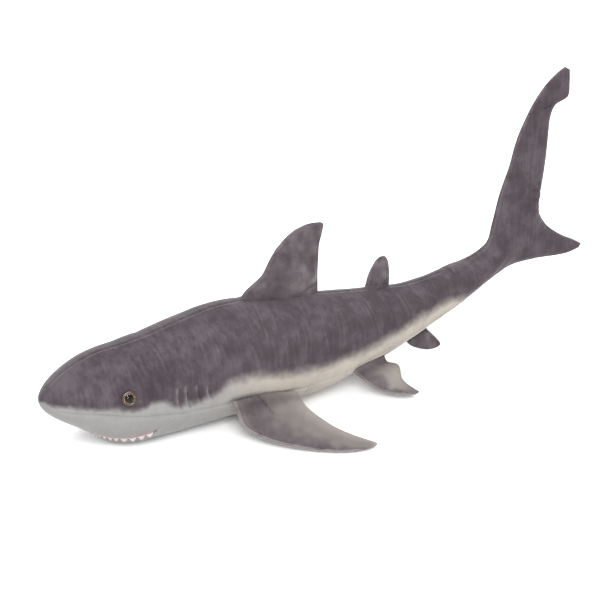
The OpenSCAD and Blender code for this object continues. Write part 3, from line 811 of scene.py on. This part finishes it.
class Nodes:
    """Small helper that adds nodes to a material and links them."""

    def __init__(self, name):
        self.material = bpy.data.materials.new(name)
        self.material.use_nodes = True
        self.tree = self.material.node_tree
        self.shader = self.tree.nodes["Principled BSDF"]

    def add(self, kind, values=None, **settings):
        made = self.tree.nodes.new(kind)
        for name, value in settings.items():
            setattr(made, name, value)
        for name, value in (values or {}).items():
            self.put(made.inputs[name], value)
        return made

    def put(self, socket, value):
        if isinstance(value, bpy.types.NodeSocket):
            self.tree.links.new(value, socket)
        else:
            socket.default_value = value

    def set(self, **values):
        for name, value in values.items():
            self.put(self.shader.inputs[name.replace("_", " ")], value)

    def layer(self, name):
        return self.add("ShaderNodeAttribute", attribute_name=name).outputs["Fac"]

    def noise(self, where, scale, detail=3.0, rough=0.55):
        values = {"Vector": where, "Scale": scale, "Detail": detail, "Roughness": rough}
        made = self.add("ShaderNodeTexNoise", values)
        return made.outputs["Fac"]

    def math(self, operation, a, b=0.0, clamp=False):
        made = self.add("ShaderNodeMath", {0: a, 1: b}, operation=operation, use_clamp=clamp)
        return made.outputs[0]

    def ramp(self, value, low, high):
        made = self.add("ShaderNodeMapRange", {"Value": value, "From Min": low, "From Max": high},
                        interpolation_type="SMOOTHSTEP")
        return made.outputs["Result"]

    def mix(self, share, a, b, blend="MIX"):
        made = self.add("ShaderNodeMix", data_type="RGBA", blend_type=blend)
        self.put(made.inputs["Factor"], share)
        self.put(made.inputs[6], a)
        self.put(made.inputs[7], b)
        return made.outputs[2]

    def bump(self, height, strength, distance):
        made = self.add("ShaderNodeBump", {"Height": height, "Strength": strength, "Distance": distance})
        self.put(self.shader.inputs["Normal"], made.outputs["Normal"])


def rgb(r, g, b):
    return (r, g, b, 1.0)


GREY_DARK = rgb(0.019, 0.014, 0.018)
GREY_LIGHT = rgb(0.066, 0.054, 0.062)
# Cool, darker white is white fabric in painted shade; the warmer one is white where lit.
WHITE_COOL_SHADED = rgb(0.175, 0.172, 0.168)
WHITE_CREAM_LIT = rgb(0.275, 0.25, 0.218)
WHITE_WORN = rgb(0.17, 0.155, 0.145)
# Colour of paler pile and painted highlights.
PALE_NAP_AND_HIGHLIGHT = rgb(0.18, 0.158, 0.162)


def velour():
    """Short-pile velour: white fabric dyed grey on the back, with brushed streaks and a fine pile; its colour
    also carries painted highlights and painted shade, and its white is creamier where lit and cooler and
    darker in painted shade.
    """
    n = Nodes("velour")
    rest = n.add("ShaderNodeAttribute", attribute_name="rest").outputs["Vector"]
    patches = n.noise(rest, 45, 5, 0.62)
    broad = n.noise(rest, 14, 2)
    brushed = n.add("ShaderNodeMapping", {"Vector": rest, "Rotation": (0, 0.55, 0.2), "Scale": (210, 70, 24)})
    streaks = n.noise(brushed.outputs["Vector"], 1.0, 4, 0.6)
    fibres = n.noise(rest, 1300, 2, 0.7)
    tone = n.math("ADD", n.math("MULTIPLY", patches, 0.62), n.math("MULTIPLY", streaks, 0.38))
    tone = n.math("ADD", n.math("MULTIPLY", tone, 0.7), n.math("MULTIPLY", broad, 0.3))
    grey = n.mix(n.ramp(tone, 0.32, 0.68), GREY_DARK, GREY_LIGHT)
    # Warmer white where lit, cooler and darker white in painted shade.
    white = n.mix(n.layer("cream"), WHITE_COOL_SHADED, WHITE_CREAM_LIT)
    white = n.mix(n.math("MULTIPLY", n.ramp(patches, 0.35, 0.75), 0.18), white, WHITE_WORN)
    uneven = n.math("MULTIPLY", n.math("SUBTRACT", tone, 0.5), 0.7)
    dye = n.math("ADD", n.layer("dye"), n.math("MULTIPLY", uneven, 0.6), clamp=True)
    dye = n.math("POWER", dye, 0.7)
    colour = n.mix(dye, white, grey)
    # Paler pile and painted highlights.
    pale_and_highlight_share = n.math("MULTIPLY", n.layer("pale"), n.ramp(patches, 0.25, 0.6), clamp=True)
    colour = n.mix(pale_and_highlight_share, colour, PALE_NAP_AND_HIGHLIGHT)
    # Painted shade darkens the colour here.
    dark = n.math("SUBTRACT", 1.0, n.math("MULTIPLY", n.layer("shade"), 0.75))
    speck = n.math("ADD", 0.86, n.math("MULTIPLY", fibres, 0.28))
    colour = n.mix(1.0, colour, n.math("MULTIPLY", dark, speck), "MULTIPLY")
    height = n.math("ADD", n.math("MULTIPLY", fibres, 0.35), n.math("MULTIPLY", streaks, 0.6))
    height = n.math("ADD", height, n.math("MULTIPLY", patches, 0.7))
    n.bump(height, 0.45, 0.0012)
    n.set(Base_Color=colour, Roughness=0.95, Sheen_Weight=0.22, Sheen_Roughness=0.35)
    n.set(Sheen_Tint=rgb(1.0, 0.96, 1.0), Specular_IOR_Level=0.12)
    return n.material


def plain(name, dark, light, scale, rough, bump=0.3, distance=0.0003, sheen=0.0, coat=0.0, shine=0.5):
    """A material with a fine grain between two close colours."""
    n = Nodes(name)
    where = n.add("ShaderNodeTexCoord").outputs["Object"]
    grain = n.noise(where, scale, 4, 0.6)
    n.set(Base_Color=n.mix(n.ramp(grain, 0.3, 0.7), dark, light), Roughness=rough)
    n.set(Sheen_Weight=sheen, Coat_Weight=coat, Coat_Roughness=0.03)
    n.set(Specular_IOR_Level=shine)
    n.bump(grain, bump, distance)
    return n.material


def iris_material():
    """Moulded eye: a dark ring, a gold ring flecked with brown, and a dark middle."""
    n = Nodes("eye_iris")
    radius = n.layer("radius")
    where = n.add("ShaderNodeTexCoord").outputs["Object"]
    flecks = n.noise(where, 900, 3)
    gold = n.mix(n.ramp(flecks, 0.35, 0.65), rgb(0.10, 0.05, 0.022), rgb(0.30, 0.18, 0.08))
    ring = n.math("MULTIPLY", n.ramp(radius, 5.2, 5.7), n.math("SUBTRACT", 1.0, n.ramp(radius, 6.5, 7.0)))
    n.set(Base_Color=n.mix(ring, rgb(0.018, 0.010, 0.008), gold), Roughness=0.35, Specular_IOR_Level=0.1)
    return n.material


def clear_material():
    n = Nodes("eye_clear")
    where = n.add("ShaderNodeTexCoord").outputs["Object"]
    n.set(Base_Color=rgb(1, 1, 1), Transmission_Weight=1.0, IOR=1.3)
    n.set(Roughness=n.math("MULTIPLY", n.noise(where, 400, 2), 0.03))
    return n.material


# ---- Cloth ----

CLOTH_FRAMES = 20
# The furthest that a point may move, in millimetres
CLOTH_CAP = 3.0
# How much the fabric stretches, as a share of its length
CLOTH_SLACK = 0.03
# The part of a fin's grid that may move
FREE_ROWS, FREE_COLUMNS = slice(4, -5), slice(8, -8)


def stuff(piece):
    """Swells a fin's skin under the pressure of its stuffing, held at its root and along its edges."""
    count = FIN_ROWS * FIN_COLUMNS
    index = np.arange(count).reshape(FIN_ROWS, FIN_COLUMNS)
    held = np.ones((FIN_ROWS, FIN_COLUMNS), bool)
    held[FREE_ROWS, FREE_COLUMNS] = False
    group = piece.vertex_groups.new(name="sewn")
    group.add(index[held].tolist(), 1.0, "REPLACE")
    cloth = piece.modifiers.new("cloth", "CLOTH")
    cloth.point_cache.frame_start = 1
    cloth.point_cache.frame_end = CLOTH_FRAMES
    cloth.settings.vertex_group_mass = "sewn"
    cloth.settings.quality = 5
    cloth.settings.mass = 0.15
    cloth.settings.tension_stiffness = 40
    cloth.settings.compression_stiffness = 40
    cloth.settings.shear_stiffness = 20
    cloth.settings.bending_stiffness = 0.02
    cloth.settings.shrink_min = -CLOTH_SLACK
    cloth.settings.shrink_max = -CLOTH_SLACK
    cloth.settings.use_pressure = True
    cloth.settings.uniform_pressure_force = 4
    cloth.settings.effector_weights.gravity = 0
    cloth.collision_settings.use_collision = False
    scene = bpy.context.scene
    for step in range(1, CLOTH_FRAMES + 1):
        scene.frame_set(step)
    before, after = np.empty(count * 3), np.empty(count * 3)
    piece.data.vertices.foreach_get("co", before)
    swollen = piece.evaluated_get(bpy.context.evaluated_depsgraph_get())
    swollen.data.vertices.foreach_get("co", after)
    piece.modifiers.remove(cloth)
    piece.vertex_groups.remove(group)
    scene.frame_set(1)
    move = np.nan_to_num(after - before).reshape(-1, 3)
    size = np.linalg.norm(move, axis=1)[:, None] + 1e-9
    limit = CLOTH_CAP * MM
    move = move / size * limit * np.tanh(size / limit)
    piece.data.vertices.foreach_set("co", (before.reshape(-1, 3) + move).ravel())
    piece.data.update()


# ---- Putting it together ----

fabric = velour()
lining_mat = plain("mouth_cloth", rgb(0.085, 0.045, 0.05), rgb(0.13, 0.075, 0.08), 700, 0.95, sheen=0.2)
gum_mat = plain("gum_felt", rgb(0.30, 0.14, 0.14), rgb(0.42, 0.23, 0.22), 900, 0.9, 0.5, sheen=0.3)
tooth_mat = plain("tooth_felt", rgb(0.28, 0.265, 0.255), rgb(0.38, 0.365, 0.35), 900, 0.9, 0.5, sheen=0.2)
rim_mat = plain("eye_rim", rgb(0.020, 0.011, 0.008), rgb(0.035, 0.019, 0.013), 300, 0.22,
                bump=0.1, distance=0.0001, coat=0.6)
pupil_mat = plain("eye_pupil", rgb(0.004, 0.004, 0.004), rgb(0.008, 0.007, 0.007), 300, 0.3,
                  bump=0.05, distance=0.0001, shine=0.0)
washer_mat = plain("washer_plastic", rgb(0.70, 0.70, 0.68), rgb(0.78, 0.78, 0.76), 300, 0.45, 0.1)


def dress(piece, material):
    piece.data.materials.append(material)
    return piece


def bend(piece, start, end):
    """Bakes a piece's transform into its mesh; start and end, in millimetres, are not used."""
    place(*start).tolist()
    place(*end).tolist()
    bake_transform(piece)


for side, label in ((1, "left"), (-1, "right")):
    panel = dress(back_panel(side), fabric)
    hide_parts("back_panel_" + label, "tail_panel_" + label)
    bend(panel, (TAIL_BEND[0], 0, 90), (TAIL_BEND[1], 0, 90))

snout = dress(snout_panel(), fabric)
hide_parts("snout_panel")
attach(snout, "torso")

belly = dress(belly_panel(), fabric)
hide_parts("belly_panel", "tail_belly_strip", "torso_stuffing", "tail_stuffing")
bend(belly, (TAIL_BEND[0], 0, 90), (TAIL_BEND[1], 0, 90))

for piece, material, slot, node in (
    (mouth_lining(), lining_mat, "mouth_fabric", "mouth_lining"),
    (gum_roll(), gum_mat, "gum_felt", "gum_strip"),
    (teeth(), tooth_mat, "tooth_felt", "tooth_strip"),
):
    dress(piece, material)
    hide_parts(node)
    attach(piece, "torso")

# Outlines of the eye's turned pieces: radius and height
RIM = [
    (6.9, 0.2), (7.0, 1.6), (7.4, 2.2), (8.0, 2.4), (8.6, 2.1), (9.0, 1.3), (9.0, 0.2),
    (8.4, -0.6), (6.9, -0.8),
]
IRIS = [(7.1, 0.9), (6.6, 1.15), (6.0, 1.4), (5.3, 1.65), (4.6, 1.85), (4.2, 1.9)]
for side, label in ((1, "left"), (-1, "right")):
    parts = (
        ("eye_rim_", RIM, rim_mat, "eye_brown", "eye_socket_"),
        ("eye_gold_", IRIS, iris_material(), "eye_gold", "eye_iris_"),
        ("eye_black_", dome_profile(5.4, 1.5, 2.6), pupil_mat, "eye_black", "eye_pupil_"),
        ("eye_glass_", dome_profile(7.2, 1.3, 5.0, 20), clear_material(), "eye_clear", "eye_dome_"),
    )
    for name, profile, material, slot, node in parts:
        piece = dress(lathe(name + label, profile, side), material)
        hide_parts(node + label)
        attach(piece, "torso")
    washer = frame["nodes"]["eye_washer_" + label]
    washer.data.materials.clear()
    washer.data.materials.append(washer_mat)

Fin = namedtuple("Fin", (
    "name", "rows", "thickness", "inward", "face", "side", "layers",
    "parent", "body", "skins", "endings", "batting", "start", "end",
))
FINS = [
    Fin("dorsal_velour", DORSAL, 22, (0, 0, -1), (0, -1, 0), 1, grey_layers, "torso", "dorsal_fin",
        ("dorsal_fin_left", "dorsal_fin_right"), ("_left", "_right"), "dorsal_fin_batting",
        (343, 0, 158), (346, 0, 188)),
    Fin("second_dorsal_velour", SECOND_DORSAL, 11, (0, 0, -1), (0, -1, 0), 1, grey_layers, "torso",
        "second_dorsal_fin", ("second_dorsal_left", "second_dorsal_right"), ("_left", "_right"),
        "second_dorsal_batting", (490, 0, 136), (491, 0, 150)),
    Fin("anal_velour", ANAL, 11, (-0.37, 0, 0.93), (0, -1, 0), 1, grey_layers, "tail", "anal_fin",
        ("anal_fin_left", "anal_fin_right"), ("_left", "_right"), "anal_fin_batting",
        (555, 0, 50), (562, 0, 34)),
]
PAIRED_FINS = (
    ("pectoral", PECTORAL, 18, (0, 0.91, 0.41), (0, -0.41, 0.91), pectoral_layers,
     (278, -76, 40), (278, -102, 28)),
    ("pelvic", PELVIC, 12, (0, 0.77, 0.64), (0, -0.64, 0.77), pelvic_layers,
     (455, -46, 34), (455, -60, 23)),
)
for pair, rows, thickness, inward, face, layers, start, end in PAIRED_FINS:
    for side, label in ((1, "left"), (-1, "right")):
        FINS.append(Fin(
            f"{pair}_velour_{label}", rows, thickness, inward, face, side, layers, "torso",
            f"{pair}_fin_{label}", (f"{pair}_top_{label}", f"{pair}_under_{label}"), ("_top", "_under"),
            f"{pair}_batting_{label}", (start[0], side * start[1], start[2]), (end[0], side * end[1], end[2]),
        ))

for fin in FINS:
    made = fin_skins(fin)
    for piece, node, ending in zip(made, fin.skins, fin.endings):
        dress(piece, fabric)
        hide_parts(node)
        stuff(piece)
        bend(piece, fin.start, fin.end)
    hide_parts(fin.batting)

for piece, node in zip(tail_skins(), ("tail_fin_left", "tail_fin_right")):
    dress(piece, fabric)
    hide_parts(node, "tail_fin_batting")
    bend(piece, (FIN_BEND[0], 0, 120), (FIN_BEND[1], 0, 120))

# ---- Floor, lights and camera ----

scene = bpy.context.scene
scene.view_settings.view_transform = "Standard"

bpy.ops.mesh.primitive_plane_add(size=12)
floor = bpy.context.object
floor.name = "floor"
floor_mat = plain("floor_paper", rgb(0.93, 0.93, 0.93), rgb(0.95, 0.95, 0.95), 3, 0.9, 0.02)
floor.data.materials.append(floor_mat)

world = bpy.data.worlds.new("studio")
world.use_nodes = True
world.node_tree.nodes["Background"].inputs["Color"].default_value = rgb(1, 1, 1)
world.node_tree.nodes["Background"].inputs["Strength"].default_value = 0.95
scene.world = world


LIGHT_TARGET = (0, 0, 0.1)


def softbox(name, location, size, power):
    data = bpy.data.lights.new(name, "AREA")
    data.shape = "RECTANGLE"
    data.size, data.size_y = size
    data.energy = power
    light = bpy.data.objects.new(name, data)
    light.location = location
    aim = Vector(LIGHT_TARGET) - Vector(location)
    light.rotation_euler = aim.to_track_quat("-Z", "Y").to_euler()
    scene.collection.objects.link(light)


softbox("key", (-1.1, -2.0, 1.5), (1.4, 1.4), 95)
softbox("top", (0.3, 0.2, 2.4), (2.2, 2.2), 60)

AZIMUTH, ELEVATION, DISTANCE = math.radians(-30), math.radians(22), 2.3
TARGET = Vector((-0.0485, 0, 0.135))
back = Vector((
    math.sin(AZIMUTH) * math.cos(ELEVATION),
    -math.cos(AZIMUTH) * math.cos(ELEVATION),
    math.sin(ELEVATION),
))
camera_data = bpy.data.cameras.new("camera")
camera_data.lens = 105
camera = bpy.data.objects.new("camera", camera_data)
camera.location = TARGET + back * DISTANCE
camera.rotation_mode = "QUATERNION"
camera.rotation_quaternion = (-back).to_track_quat("-Z", "Y")
scene.collection.objects.link(camera)
scene.camera = camera
